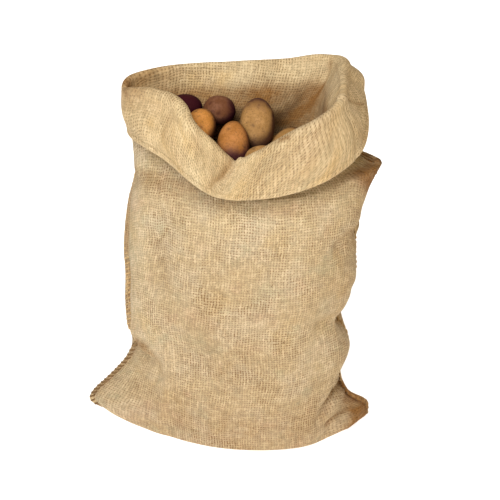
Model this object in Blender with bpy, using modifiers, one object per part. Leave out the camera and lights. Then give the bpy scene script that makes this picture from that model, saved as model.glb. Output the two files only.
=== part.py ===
"""A hessian potato sack standing open: one piece of jute cloth, folded at the bottom and sewn up
both sides, its mouth rolled down into a cuff, with the potatoes that fill it.

Metres, +Z up. The origin is the middle of the flat underside. The front of the sack faces -Y.
"""

from collections import namedtuple

import bmesh
import bpy
import numpy as np
from mathutils import Euler, Vector

# Driving sizes
CLOTH = 0.0025             # thickness of the jute cloth
SEAM_EDGE = 0.0070         # width across the two layers where a side seam is sewn
SEAM_LIP = 0.009           # how far a sewn side seam stands out of the body
PANEL_WIDTH = 0.58         # width of one panel between its seams
SEAM_WAY = 0.006           # half of that width at the mouth, as a share of a panel's width
SHOULDER_EDGE = 0.005      # how much wider each side of a seam is where its lip dies away
LIP_SPREAD = 0.30          # turn from the seam, in radians, over which the lip grows
LEFT_EAR_SPREAD = 0.90     # turn over which the cloth runs out to the left ear
RIGHT_EAR_SPREAD = 0.50    # and to the right ear
EAR_CURVE = 1.3            # 1 for an ear with straight edges, more for hollow ones
SQUARENESS = 0.92          # 1 for an elliptical body, less for a squarer one
LEFT_LEANNESS = 0.20       # share of the front bulge missing at the left seam
LEANNESS_CURVE = 1.5       # how fast the bulge fills out away from that seam
TURN_CURVE = 4             # how close to the right seam its swing to the back keeps
LIFT_CURVE = 6             # and how close to it the cloth's extra height keeps
OPENING_CURVE = 6          # how late up the body the seams' lips die away
WALL_LEAN = 0.7            # how far the wall follows the body's slope above the shoulder
WALL_LEAN_LOST = 0.6       # how much less it does so at the right seam
WALL_LEAN_CURVE = 8        # how close to the right seam that is
WALL_UPRIGHT = 0.8         # how strongly the wall runs straight up into the roll
CUFF_HANG = 0.8            # how strongly the cuff hangs straight down out of the roll
CUFF_REACH = 0.9           # how strongly it then runs towards its edge
PANEL_COLUMNS = 26         # columns of cloth on the front panel, and again on the back
BODY_ROWS = 22             # rows of cloth from the floor to the shoulder
ROW_GROWTH = 0.4           # share of the row spacing that grows with height
WALL_ROWS = 5              # rows from the shoulder to the start of the roll
ROLL_STEPS = 6             # rows round the top of the roll
CUFF_ROWS = 6              # rows down the turned-down cuff
BASE_RINGS = (0.92, 0.72, 0.46, 0.20)   # rings of the flat underside, as shares of its edge
CLEAR = 0.0003             # gap between pieces that touch

# One row for each height of the body. left and right are how far the round of the body reaches
# from the middle, front and back how deep the panels bulge. An ear is how much further the
# cloth is drawn out along a side seam, or pushed in where it is negative. turn is how far the
# right seam has swung towards the back, and lift how much higher the cloth lies there.
Section = namedtuple("Section", "height left right front back left_ear right_ear turn lift")
SECTIONS = (
    Section(0.000, 0.194, 0.232, 0.141, 0.132, 0.070, 0.034, -0.035, 0.000),
    Section(0.008, 0.194, 0.234, 0.151, 0.140, 0.086, 0.052, -0.037, 0.000),
    Section(0.022, 0.194, 0.235, 0.156, 0.145, 0.094, 0.058, -0.038, 0.000),
    Section(0.045, 0.194, 0.235, 0.158, 0.148, 0.084, 0.024, -0.034, 0.000),
    Section(0.075, 0.193, 0.234, 0.158, 0.149, 0.056, 0.006, -0.026, 0.000),
    Section(0.105, 0.192, 0.235, 0.157, 0.149, 0.030, -0.002, -0.016, 0.000),
    Section(0.140, 0.191, 0.240, 0.156, 0.148, 0.006, -0.002, -0.010, 0.000),
    Section(0.175, 0.190, 0.245, 0.154, 0.147, -0.003, 0.000, -0.006, 0.000),
    Section(0.215, 0.192, 0.246, 0.152, 0.146, 0.000, -0.014, 0.000, 0.000),
    Section(0.252, 0.194, 0.245, 0.151, 0.145, 0.000, -0.038, 0.000, 0.000),
    Section(0.290, 0.195, 0.247, 0.150, 0.144, 0.000, -0.016, 0.000, 0.000),
    Section(0.340, 0.190, 0.252, 0.149, 0.143, 0.000, 0.000, -0.004, 0.000),
    Section(0.400, 0.184, 0.252, 0.147, 0.142, 0.000, -0.002, -0.010, 0.000),
    Section(0.460, 0.176, 0.252, 0.144, 0.140, 0.000, -0.002, -0.018, 0.004),
    Section(0.520, 0.171, 0.252, 0.136, 0.137, 0.000, 0.006, -0.026, 0.014),
    Section(0.570, 0.167, 0.247, 0.122, 0.134, 0.000, 0.036, -0.034, 0.032),
)

# One row for each fold of the body, a line from a to b. way runs from 0 at the left seam over
# the front to 1 at the right seam and over the back to 2, and push is how far the line stands
# out, or sinks in where it is negative.
Fold = namedtuple("Fold", "way_a height_a way_b height_b width push")
FOLDS = (
    Fold(-0.02, 0.180, 0.22, 0.176, 0.016, -0.013),     # crease above the left ear
    Fold(0.06, 0.215, 0.26, 0.212, 0.024, 0.006),       # the body bulging over it
    Fold(0.26, 0.140, 0.24, 0.020, 0.020, 0.004),       # ridge where the ear leaves the body
    Fold(0.76, 0.285, 1.00, 0.252, 0.020, -0.010),      # right waist
    Fold(0.82, 0.205, 1.00, 0.190, 0.026, 0.005),       # bulge under it
    Fold(0.78, 0.062, 0.92, 0.118, 0.016, -0.010),      # upper crease of the right ear
    Fold(0.80, 0.018, 0.94, 0.045, 0.013, -0.006),      # lower crease of the right ear
    Fold(0.80, 0.452, 1.00, 0.450, 0.018, -0.006),      # crease under the shoulder
    Fold(0.30, 0.330, 0.62, 0.350, 0.060, 0.004),       # soft swell of the load
    Fold(1.06, 0.170, 1.40, 0.235, 0.026, -0.007),      # slack across the back, low down
    Fold(1.50, 0.410, 1.92, 0.360, 0.030, -0.007),      # slack across the back, higher up
    Fold(1.72, 0.050, 1.84, 0.190, 0.022, -0.006),      # crease behind the left ear
)

# One row for each point round the mouth. way runs from 0 at the left seam, over the front, to 1
# at the right seam and over the back to 2. crest is the top of the roll, hem the cuff's edge.
# roll is the roll's radius, puff how far the cuff billows, and bow how far the wall below the
# roll sinks into the sack.
Station = namedtuple("Station", "way crest_x crest_y crest_z roll hem_x hem_y hem_z puff bow")
STATIONS = (
    Station(0.00, -0.180, 0.022, 0.722, 0.006, -0.175, 0.002, 0.648, 0.004, 0.000),
    Station(0.09, -0.160, -0.010, 0.731, 0.011, -0.161, -0.045, 0.652, 0.008, 0.000),
    Station(0.18, -0.120, -0.030, 0.738, 0.022, -0.138, -0.085, 0.655, 0.018, 0.005),
    Station(0.27, -0.083, -0.050, 0.731, 0.024, -0.100, -0.115, 0.643, 0.016, 0.010),
    Station(0.36, -0.058, -0.076, 0.703, 0.022, -0.068, -0.135, 0.622, 0.008, 0.010),
    Station(0.47, -0.020, -0.088, 0.668, 0.022, -0.035, -0.148, 0.600, 0.014, 0.006),
    Station(0.57, 0.018, -0.093, 0.633, 0.016, -0.006, -0.152, 0.588, 0.004, 0.000),
    Station(0.67, 0.056, -0.104, 0.652, 0.020, 0.038, -0.156, 0.586, 0.004, 0.003),
    Station(0.78, 0.112, -0.118, 0.692, 0.022, 0.105, -0.158, 0.597, 0.012, 0.010),
    Station(0.90, 0.166, -0.108, 0.719, 0.018, 0.175, -0.148, 0.619, 0.012, 0.020),
    Station(1.00, 0.202, -0.072, 0.737, 0.012, 0.230, -0.105, 0.641, 0.010, 0.035),
    Station(1.10, 0.212, -0.018, 0.746, 0.009, 0.255, -0.038, 0.652, 0.008, 0.045),
    Station(1.20, 0.214, 0.050, 0.749, 0.009, 0.262, 0.040, 0.672, 0.009, 0.035),
    Station(1.30, 0.207, 0.108, 0.748, 0.010, 0.256, 0.122, 0.696, 0.016, 0.032),
    Station(1.38, 0.170, 0.128, 0.741, 0.012, 0.205, 0.156, 0.672, 0.008, 0.032),
    Station(1.46, 0.122, 0.131, 0.736, 0.012, 0.138, 0.165, 0.650, 0.006, 0.034),
    Station(1.60, 0.028, 0.134, 0.729, 0.013, 0.030, 0.168, 0.635, 0.006, 0.026),
    Station(1.72, -0.047, 0.130, 0.728, 0.013, -0.060, 0.164, 0.632, 0.006, 0.016),
    Station(1.83, -0.118, 0.108, 0.727, 0.013, -0.138, 0.136, 0.634, 0.006, 0.000),
    Station(1.92, -0.172, 0.066, 0.727, 0.007, -0.178, 0.076, 0.642, 0.005, 0.000),
)

# One row for each potato of the top layer: its middle, its three widths, and its tilt and turn
# in degrees.
Potato = namedtuple("Potato", "name x y z length width depth tilt turn colour")
POTATOES = (
    Potato("potato_a", -0.078, 0.054, 0.663, 0.076, 0.054, 0.062, 14, 20, "dusky"),
    Potato("potato_b", -0.010, 0.052, 0.665, 0.062, 0.054, 0.054, 8, -20, "dusky"),
    Potato("potato_c", -0.045, -0.001, 0.654, 0.076, 0.058, 0.056, 36, 70, "ruddy"),
    Potato("potato_d", 0.017, -0.034, 0.640, 0.078, 0.056, 0.056, 50, 95, "ruddy"),
    Potato("potato_e", 0.060, 0.020, 0.652, 0.098, 0.064, 0.060, 45, 85, "golden"),
    Potato("potato_f", 0.117, -0.006, 0.629, 0.078, 0.056, 0.054, 15, 60, "golden"),
    Potato("potato_g", 0.068, -0.054, 0.608, 0.062, 0.044, 0.042, 8, 25, "golden"),
    Potato("potato_h", -0.112, 0.010, 0.617, 0.062, 0.052, 0.050, 10, 100, "ruddy"),
    Potato("potato_i", -0.070, -0.028, 0.596, 0.060, 0.048, 0.046, 6, 30, "golden"),
    Potato("potato_j", 0.158, -0.052, 0.603, 0.068, 0.052, 0.050, 8, 75, "ruddy"),
    Potato("potato_k", 0.174, 0.016, 0.590, 0.068, 0.052, 0.050, 6, 110, "golden"),
    Potato("potato_l", 0.112, 0.064, 0.586, 0.068, 0.052, 0.050, 4, 10, "golden"),
)
FILL_TOP = 0.545           # height at which the heap of potatoes starts to dome
FILL_EDGE = 0.560          # height of the heap near the cloth
FILL_SINK = 0.005          # how far below a top potato's middle the heap reaches
FILL_SPREAD = 0.035        # how far round it a top potato lifts the heap
FILL_REST = 0.02           # how much the height near the cloth counts elsewhere
FILL_INSET = 0.020         # heap's distance inside the outer face of the cloth
FILL_SIDE = 0.015          # half the width of the heap's blunt sides, which stay out of the seams
FILL_FRONT = 0.028         # how far the heap keeps back from the cloth in front, under the dip
FILL_RINGS = 9             # rings of the heap's side, and again of its top
FILL_ROUND = 7.0           # how squarely the heap's side turns into its top
POTATO_TAPER = 0.32        # how much thinner one end of a potato is than the other
POTATO_SIDES = 14          # faces round a potato
POTATO_BANDS = 9           # and along it
SKINS = {
    "golden": (0.50, 0.27, 0.09),
    "ruddy": (0.45, 0.17, 0.06),
    "dusky": (0.12, 0.05, 0.04),
}


def smooth_loop(ways, values, at):
    """Closed curve through values at ways, a cubic whose slopes come from the neighbours."""
    knots = np.concatenate([ways[-2:] - 2.0, ways, ways[:2] + 2.0])[:, None]
    points = np.concatenate([values[-2:], values, values[:2]])
    slopes = (points[2:] - points[:-2]) / (knots[2:] - knots[:-2])
    index = np.searchsorted(knots[:, 0], at, side="right") - 1
    span = knots[index + 1] - knots[index]
    share = (at[:, None] - knots[index]) / span
    low, high = points[index], points[index + 1]
    out, back = slopes[index - 1] * span, slopes[index] * span
    s2, s3 = share**2, share**3
    return (
        (2 * s3 - 3 * s2 + 1) * low
        + (s3 - 2 * s2 + share) * out
        + (3 * s2 - 2 * s3) * high
        + (s3 - s2) * back
    )


def smooth_column(heights, values, at):
    """Open curve through values at heights, a cubic whose slopes come from the neighbours."""
    slopes = np.gradient(values, heights)
    index = np.clip(np.searchsorted(heights, at, side="right") - 1, 0, len(heights) - 2)
    span = heights[index + 1] - heights[index]
    share = (at - heights[index]) / span
    s2, s3 = share**2, share**3
    return (
        (2 * s3 - 3 * s2 + 1) * values[index]
        + (s3 - 2 * s2 + share) * slopes[index] * span
        + (3 * s2 - 2 * s3) * values[index + 1]
        + (s3 - s2) * slopes[index + 1] * span
    )


def column_ways():
    """Place of each column round the sack, from 0 at the left seam round to 2."""
    front = np.linspace(SEAM_WAY, 1.0 - SEAM_WAY, PANEL_COLUMNS)
    return np.concatenate([front, 1.0 + front])


def seam_turn(ways):
    """Turn of each column from the left seam, 0, to the right seam, pi, on either panel."""
    return np.pi * (np.where(ways < 1.0, ways, 2.0 - ways) - SEAM_WAY) / (1.0 - 2.0 * SEAM_WAY)


def across_panels(ways):
    """Share of the sack's width at which each column lies."""
    return (1.0 - np.cos(seam_turn(ways))) / 2.0


def near(turn, spread):
    """Share that falls from 1 on a seam to 0 at the spread round from it."""
    return np.maximum(0.0, 1.0 - turn / spread) ** EAR_CURVE


def body_ring(section, ways, lip=SEAM_LIP, edge=SEAM_EDGE):
    """Ring at one height: two panels that bulge between the side seams and their lips."""
    side = np.where(ways < 1.0, -1.0, 1.0)
    turn = seam_turn(ways)
    across = across_panels(ways)
    depth = np.where(side < 0.0, section.front, section.back)
    depth *= 1.0 - LEFT_LEANNESS * (1.0 - across) ** LEANNESS_CURVE
    opening = (section.height / SECTIONS[-1].height) ** OPENING_CURVE
    lip *= 1.0 - opening
    x = -section.left + (section.left + section.right) * across
    x -= section.left_ear * near(turn, LEFT_EAR_SPREAD) + lip * near(turn, LIP_SPREAD)
    x += section.right_ear * near(np.pi - turn, RIGHT_EAR_SPREAD)
    x += lip * near(np.pi - turn, LIP_SPREAD)
    edge += 2.0 * SHOULDER_EDGE * opening
    y = side * (edge / 2.0 + depth * np.abs(np.sin(turn)) ** SQUARENESS)
    y += section.turn * across**TURN_CURVE
    return np.stack([x, y, section.height + section.lift * across**LIFT_CURVE], axis=1)


def section_at(height):
    """Section of the body at any height up to the shoulder."""
    table = np.array(SECTIONS)
    values = [smooth_column(table[:, 0], table[:, k], height) for k in range(1, table.shape[1])]
    return Section(height, *values)


def outward(ring):
    """Level unit direction that points out of a ring at each of its points."""
    along = np.roll(ring, -1, axis=0) - np.roll(ring, 1, axis=0)
    out = np.stack([along[:, 1], -along[:, 0], np.zeros(len(ring))], axis=1)
    return out / np.linalg.norm(out, axis=1, keepdims=True)


def fold_depth(ways, height):
    """How far the folds push the cloth out at one height: soft ridges along straight lines."""
    push = np.zeros_like(ways)
    for fold in FOLDS:
        start = np.array([fold.way_a * PANEL_WIDTH, fold.height_a])
        run = np.array([fold.way_b * PANEL_WIDTH, fold.height_b]) - start
        point = np.stack([ways * PANEL_WIDTH, np.full_like(ways, height)], axis=1) - start
        share = np.clip(point @ run / (run @ run), 0.0, 1.0)
        away = np.linalg.norm(point - share[:, None] * run, axis=1)
        push += fold.push * np.exp(-((away / fold.width) ** 2))
    return push


def body_rows(ways):
    """Rings of the body, closer together near the floor, with the folds pressed into them."""
    share = np.linspace(0.0, 1.0, BODY_ROWS)
    heights = SECTIONS[-1].height * ((1.0 - ROW_GROWTH) * share + ROW_GROWTH * share**2)
    heights[1] = SECTIONS[1].height
    rows = []
    for height in heights:
        row = body_ring(section_at(height), ways)
        rows.append(row + fold_depth(ways, height)[:, None] * outward(row))
    return rows


def mouth_curves(ways):
    """Crest, cuff edge and their sizes for each column."""
    table = np.array(STATIONS)
    values = smooth_loop(table[:, 0], table[:, 1:], ways % 2.0)
    crest, roll = values[:, 0:3], values[:, 3:4]
    hem, puff, bow = values[:, 4:7], values[:, 7:8], values[:, 8:9]
    return crest, hem, roll, puff, bow


def bridge(low, high, low_slope, high_slope, share):
    """Cubic from low to high with the slopes given at both ends."""
    s2, s3 = share**2, share**3
    return (
        (2 * s3 - 3 * s2 + 1) * low
        + (s3 - 2 * s2 + share) * low_slope
        + (3 * s2 - 2 * s3) * high
        + (s3 - s2) * high_slope
    )


def mouth_rows(body, ways):
    """Rings above the body: the wall, the roll over the top and the cuff down outside it."""
    crest, hem, roll, puff, bow = mouth_curves(ways)
    out = outward(crest)
    up = np.array([0.0, 0.0, 1.0])
    inner = crest - roll * out - roll * up
    outer = crest + roll * out - roll * up
    rise = np.linalg.norm(inner - body[-1], axis=1, keepdims=True)
    lean = (body[-1] - body[-2]) / np.linalg.norm(body[-1] - body[-2], axis=1, keepdims=True)
    lean *= WALL_LEAN - WALL_LEAN_LOST * across_panels(ways)[:, None] ** WALL_LEAN_CURVE
    rows = []
    for share in np.linspace(0.0, 1.0, WALL_ROWS + 1)[1:]:
        row = bridge(body[-1], inner, rise * lean, WALL_UPRIGHT * rise * up, share)
        rows.append(row - bow * np.sin(np.pi * share) * out)
    for turn in np.linspace(np.pi, 0.0, ROLL_STEPS + 1)[1:]:
        rows.append(crest - roll * up + roll * (np.cos(turn) * out + np.sin(turn) * up))
    drop = np.linalg.norm(hem - outer, axis=1, keepdims=True)
    for share in np.linspace(0.0, 1.0, CUFF_ROWS + 1)[1:]:
        row = bridge(outer, hem, -CUFF_HANG * drop * up, CUFF_REACH * (hem - outer), share)
        rows.append(row + puff * np.sin(np.pi * share) ** 2 * out)
    return rows


def cloth_grid():
    """Rows of points over the whole sheet, from the edge of the underside to the cuff's edge."""
    ways = column_ways()
    body = body_rows(ways)
    return np.array(body + mouth_rows(body, ways))


def finish(name, rgb, roughness):
    """Plain material of one colour and roughness."""
    material = bpy.data.materials.new(name)
    material.use_nodes = True
    shader = material.node_tree.nodes["Principled BSDF"]
    shader.inputs["Base Color"].default_value = (*rgb, 1.0)
    shader.inputs["Roughness"].default_value = roughness
    shader.inputs["Metallic"].default_value = 0.0
    return material


def add_piece(name, mesh, material, collection):
    """New object holding a mesh, with its material, in a collection."""
    piece = bpy.data.objects.new(name, mesh)
    piece.data.materials.append(material)
    collection.objects.link(piece)
    return piece


def make_sack(collection):
    """The sheet as a loft between its rings, closed under the bottom, then given its thickness."""
    grid = cloth_grid()
    rows, columns = grid.shape[:2]
    mesh = bmesh.new()
    rings = [[mesh.verts.new(point) for point in row] for row in grid]
    middle = grid[0].mean(axis=0)
    inner = rings[0]
    for share in BASE_RINGS:
        ring = [mesh.verts.new(middle + share * (point - middle)) for point in grid[0]]
        bridge_rings(mesh, ring, inner)
        inner = ring
    mesh.faces.new(list(reversed(inner)))
    for low, high in zip(rings[:-1], rings[1:]):
        bridge_rings(mesh, low, high)
    data = bpy.data.meshes.new("sack_cloth")
    mesh.to_mesh(data)
    mesh.free()
    data.shade_smooth()
    sack = add_piece("sack_cloth", data, finish("jute", (0.62, 0.45, 0.26), 0.9), collection)
    wall = sack.modifiers.new("thickness", "SOLIDIFY")
    wall.thickness = CLOTH
    wall.offset = -1.0
    wall.use_quality_normals = True
    return sack


def bridge_rings(mesh, low, high):
    """Band of four-sided faces between two rings of the same length."""
    count = len(low)
    for k in range(count):
        after = (k + 1) % count
        mesh.faces.new((low[k], low[after], high[after], high[k]))


def potato_mesh(name, row, grow):
    """Egg-shaped body with its long axis tilted and turned, grown by an even distance."""
    mesh = bmesh.new()
    bmesh.ops.create_uvsphere(mesh, u_segments=POTATO_SIDES, v_segments=POTATO_BANDS, radius=0.5)
    pose = Euler((0.0, np.radians(90.0 - row.tilt), np.radians(row.turn))).to_matrix()
    for vert in mesh.verts:
        taper = 1.0 - POTATO_TAPER / 2.0 * vert.co.z
        size = Vector((row.depth * taper, row.width * taper, row.length)) + 2.0 * Vector((grow,) * 3)
        vert.co = pose @ (vert.co * size) + Vector((row.x, row.y, row.z))
    data = bpy.data.meshes.new(name)
    mesh.to_mesh(data)
    mesh.free()
    data.shade_smooth()
    return data


def heap_height(x, y):
    """Height of the heap under the top potatoes: each one lifts the heap round it."""
    level = np.full_like(x, FILL_EDGE * FILL_REST)
    weight = np.full_like(x, FILL_REST)
    for row in POTATOES:
        near_by = np.exp(-((x - row.x) ** 2 + (y - row.y) ** 2) / (2.0 * FILL_SPREAD**2))
        level += near_by * (row.z - FILL_SINK)
        weight += near_by
    return level / weight


def heap_rows():
    """Rings of the heap: a side just inside the cloth, then a dome over the top."""
    ways = column_ways()[::2]
    rows = []
    for height in np.linspace(0.0, FILL_TOP, FILL_RINGS + 1):
        section = section_at(height)
        reach = np.array(section[1:5]) - FILL_INSET - [0.0, 0.0, FILL_FRONT, FILL_SIDE]
        section = Section(height, *reach, 0.0, min(0.0, section.right_ear), section.turn, 0.0)
        ring = body_ring(section, ways, lip=0.0, edge=2.0 * FILL_SIDE)
        rows.append(ring + [0.0, 0.0, CLOTH + CLEAR])
    edge = rows[-1]
    middle = edge.mean(axis=0)
    for share in np.linspace(1.0, 0.0, FILL_RINGS + 1)[1:-1]:
        ring = middle + share * (edge - middle)
        rise = 1.0 - share**FILL_ROUND
        ring[:, 2] = edge[:, 2] + rise * (heap_height(ring[:, 0], ring[:, 1]) - edge[:, 2])
        rows.append(ring)
    return rows


def make_heap(collection, cutters):
    """The potatoes below the top layer, as one heap with a socket under each top potato."""
    mesh = bmesh.new()
    rings = [[mesh.verts.new(point) for point in row] for row in heap_rows()]
    mesh.faces.new(list(reversed(rings[0])))
    for low, high in zip(rings[:-1], rings[1:]):
        bridge_rings(mesh, low, high)
    mesh.faces.new(rings[-1])
    data = bpy.data.meshes.new("potato_heap")
    mesh.to_mesh(data)
    mesh.free()
    heap = add_piece("potato_heap", data, finish("earthy skin", (0.20, 0.12, 0.06), 0.85), collection)
    for row in POTATOES:
        socket = bpy.data.objects.new(row.name + "_socket", potato_mesh(row.name + "_socket", row, CLEAR))
        socket.hide_render = True
        socket.display_type = "WIRE"
        cutters.objects.link(socket)
        cut = heap.modifiers.new(row.name, "BOOLEAN")
        cut.operation = "DIFFERENCE"
        cut.object = socket
    return heap


def make_potatoes(collection):
    """The potatoes of the top layer, each a piece of its own."""
    skins = {name: finish(name + " skin", rgb, 0.6) for name, rgb in SKINS.items()}
    for row in POTATOES:
        add_piece(row.name, potato_mesh(row.name, row, 0.0), skins[row.colour], collection)


def main():
    for old in list(bpy.data.objects):
        bpy.data.objects.remove(old)
    collection = bpy.data.collections.new("hessian_sack")
    cutters = bpy.data.collections.new("hessian_sack_cutters")
    bpy.context.scene.collection.children.link(collection)
    bpy.context.scene.collection.children.link(cutters)
    make_sack(collection)
    make_heap(collection, cutters)
    make_potatoes(collection)


main()
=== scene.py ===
import math

import bpy
import numpy as np
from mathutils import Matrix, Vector


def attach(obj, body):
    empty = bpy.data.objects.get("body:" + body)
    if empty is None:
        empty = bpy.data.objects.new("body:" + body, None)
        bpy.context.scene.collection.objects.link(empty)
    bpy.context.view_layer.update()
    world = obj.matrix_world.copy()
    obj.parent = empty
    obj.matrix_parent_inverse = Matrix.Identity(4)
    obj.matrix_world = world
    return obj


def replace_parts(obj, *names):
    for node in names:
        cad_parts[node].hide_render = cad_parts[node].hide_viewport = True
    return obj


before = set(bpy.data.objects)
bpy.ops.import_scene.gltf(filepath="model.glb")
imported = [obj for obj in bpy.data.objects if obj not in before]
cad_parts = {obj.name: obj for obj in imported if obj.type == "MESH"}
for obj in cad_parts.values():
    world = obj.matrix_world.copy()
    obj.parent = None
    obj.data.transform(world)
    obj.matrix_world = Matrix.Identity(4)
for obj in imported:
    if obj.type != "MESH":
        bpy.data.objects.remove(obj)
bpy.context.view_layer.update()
print("frame loaded:", sorted(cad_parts))

# The sack's cloth. Lengths are in metres and angles in degrees. A way runs from 0 at the left seam
# over the front to 1 at the right seam, and over the back to 2. A level runs 0 to 1 up the body, to 2
# up the wall, to 3 over the roll and to 4 down the cuff.
sack = {
    "thickness": 0.0025,
    "leastTurn": 0.0005,      # radians between neighbouring columns of the underside
    "seamEdge": 0.0070,       # across the two layers of a side seam
    "seamLip": 0.012,         # how far a side seam stands out
    "panelWidth": 0.58,
    "seamWay": 0.006,         # half of a seam's width, as a way
    "shoulderEdge": 0.005,
    "leftEarSpread": 0.90,    # turn from the seam over which an ear runs out
    "rightEarSpread": 0.50,
    "earCurve": 1.3,          # the curves are powers: more keeps a shape closer to its end
    "squareness": 0.92,
    "leftLeanness": 0.20,
    "leannessCurve": 1.5,
    "turnCurve": 4,
    "liftCurve": 6,
    "openingCurve": 6,
    "wallLean": 0.7,
    "wallLeanLost": 0.6,
    "wallLeanCurve": 8,
    "wallUpright": 0.8,
    "leanRows": 5,            # rows below the body's top that give the wall its lean
    "cuffHang": 0.8,
    "cuffReach": 0.9,
    "finSteps": 3,            # columns across each side of a side seam
    "rightFinTurn": 100.0,    # how far the right seam's lip leans to the back
    "columns": 140,           # on the front panel
    "backColumns": 104,
    "closeAt": 0.56,          # way at which the front's columns are closest
    "closeSpread": 0.09,
    "closeness": 1.8,
    "bodyRows": 100,
    "rowGrowth": 0.15,
    "wallRows": 24,
    "rollRows": 12,
    "cuffRows": 26,
    "hemRows": 5,
    "baseRows": 10,
    "hemWidth": 0.009,        # the turned and sewn edge of the mouth
    "hemRoom": 1.25,          # hem widths that the hem's rows span, at most half of the cuff
    "hemRise": 0.0011,
    "hemEdge": 0.0015,        # over which the hem's rise ends
    "hemGroove": (0.0008, 0.0008, 0.0016),    # the sewn line: depth, distance past the hem, width
    "seamGroove": (0.0016, 0.004),            # the seam's line over the wall and the cuff: depth, width
    "seamGrooveFrom": (1.2, 1.6),             # levels between which it comes in
    "settleUp": 0.03,         # above the floor, over which the finer shape comes in
    "settleDown": 0.012,      # and above the hem, over which it ends
    "calmFrom": (1.7, 2.1),   # levels between which the finer shape drops by half
    "turnOver": (1.0, 1.1),   # levels between which the side that shows changes to the inside
    "lipShadeAndSoil": (0.30, 1.00),      # painted shade and soil on the left seam's edge and the right one's
    "lipShadeAndSoilTo": (0.90, 0.15),    # and the levels up to which it runs
    "lipShadeAndSoilFade": 0.1,
    "outsideFade": (1.12, 1.24),  # levels between which the painted shading and soil outside fade behind the cuff
    # painted shade in the crease at each seam's root
    "rootShade": 0.45,
    "rootLine": (0.0050, 0.0020),     # from a seam's edge to the crease at its root, and its width
    "everywhere": 0.15,       # brown on the whole cloth, from which the negative rows of the table paint lighter patches
    # painted shade inside the mouth, where little light reaches
    "insideShadingAndSoil": 0.66,
    "insideFade": (1.68, 1.86),   # levels between which the painted shade inside the mouth fades
}

# outlines of the body in millimetres: height left right front back leftEar rightEar turn lift
sections = np.array([
    (0, 194, 232, 141, 132, 70, 46, -35, 0),
    (8, 194, 234, 151, 140, 86, 57, -37, 0),
    (22, 194, 235, 156, 145, 94, 60, -38, 0),
    (36, 194, 235, 157, 147, 90, 56, -36, 0),
    (50, 194, 235, 158, 148, 80, 26, -33, 0),
    (75, 193, 234, 158, 149, 56, 6, -26, 0),
    (105, 192, 235, 157, 149, 30, -2, -16, 0),
    (140, 191, 240, 156, 148, 6, -2, -10, 0),
    (175, 190, 245, 154, 147, -3, 0, -6, 0),
    (215, 192, 246, 152, 146, 0, -14, 0, 0),
    (252, 194, 245, 151, 145, 0, -38, 0, 0),
    (290, 195, 247, 150, 144, 0, -16, 0, 0),
    (340, 190, 252, 149, 143, 1, 0, -4, 0),
    (400, 184, 252, 147, 142, 4, -2, -10, 0),
    (460, 176, 252, 144, 140, 7, -2, -18, 4),
    (520, 171, 252, 136, 137, 6, 6, -26, 14),
    (570, 167, 247, 122, 134, 0, 36, -34, 32),
]) / 1000.0

# soft folds of the body: way and height of both ends, width, push outwards
folds = np.array([
    (-0.02, 0.180, 0.22, 0.176, 0.016, -0.013),     # crease above the left ear
    (0.06, 0.215, 0.26, 0.212, 0.024, 0.006),       # the body bulging over it
    (0.26, 0.140, 0.24, 0.020, 0.020, 0.004),       # ridge where the ear leaves the body
    (0.76, 0.285, 1.00, 0.252, 0.020, -0.010),      # right waist
    (0.82, 0.205, 1.00, 0.190, 0.026, 0.005),       # bulge under it
    (0.78, 0.062, 0.92, 0.118, 0.016, -0.010),      # upper crease of the right ear
    (0.80, 0.018, 0.94, 0.045, 0.013, -0.006),      # lower crease of the right ear
    (0.80, 0.452, 1.00, 0.450, 0.018, -0.006),      # crease under the shoulder
    (0.30, 0.330, 0.62, 0.350, 0.060, 0.004),       # soft swell of the load
    (1.06, 0.170, 1.40, 0.235, 0.026, -0.007),      # slack across the back, low down
    (1.50, 0.410, 1.92, 0.360, 0.030, -0.007),      # slack across the back, higher up
    (1.72, 0.050, 1.84, 0.190, 0.022, -0.006),      # crease behind the left ear
])

# points round the mouth in millimetres: way, crest xyz, roll radius, cuff edge xyz, puff, bow
stations = np.array([
    (0.00, -180, 22, 722, 4, -175, 2, 648, 4, 0),
    (0.09, -160, -10, 731, 7, -161, -45, 652, 12, 0),
    (0.18, -120, -30, 738, 12, -138, -85, 655, 24, 5),
    (0.27, -83, -50, 731, 14, -100, -115, 643, 20, 10),
    (0.36, -58, -76, 703, 12, -68, -135, 622, 12, 10),
    (0.47, -20, -88, 668, 11, -35, -148, 600, 14, 6),
    (0.57, 18, -93, 633, 7, -6, -152, 588, 4, 0),
    (0.67, 56, -104, 652, 9, 38, -156, 586, 10, 3),
    (0.78, 112, -118, 692, 12, 105, -158, 597, 19, 10),
    (0.90, 166, -108, 719, 10, 175, -148, 619, 18, 20),
    (1.00, 202, -72, 737, 7, 230, -105, 641, 10, 35),
    (1.10, 212, -18, 749, 5, 255, -38, 652, 9, 40),
    (1.20, 216, 50, 750, 8, 262, 40, 672, 14, 26),
    (1.30, 215, 108, 748, 12, 252, 122, 692, 19, 15),
    (1.38, 178, 128, 745, 7, 205, 156, 672, 14, 24),
    (1.46, 122, 131, 736, 6, 138, 165, 650, 6, 34),
    (1.60, 28, 134, 729, 7, 30, 168, 635, 6, 26),
    (1.72, -47, 130, 728, 7, -60, 164, 632, 6, 16),
    (1.83, -118, 108, 727, 6, -138, 136, 634, 6, 0),
    (1.92, -172, 66, 727, 5, -178, 76, 642, 5, 0),
])
stations[:, 1:] /= 1000.0


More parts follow.
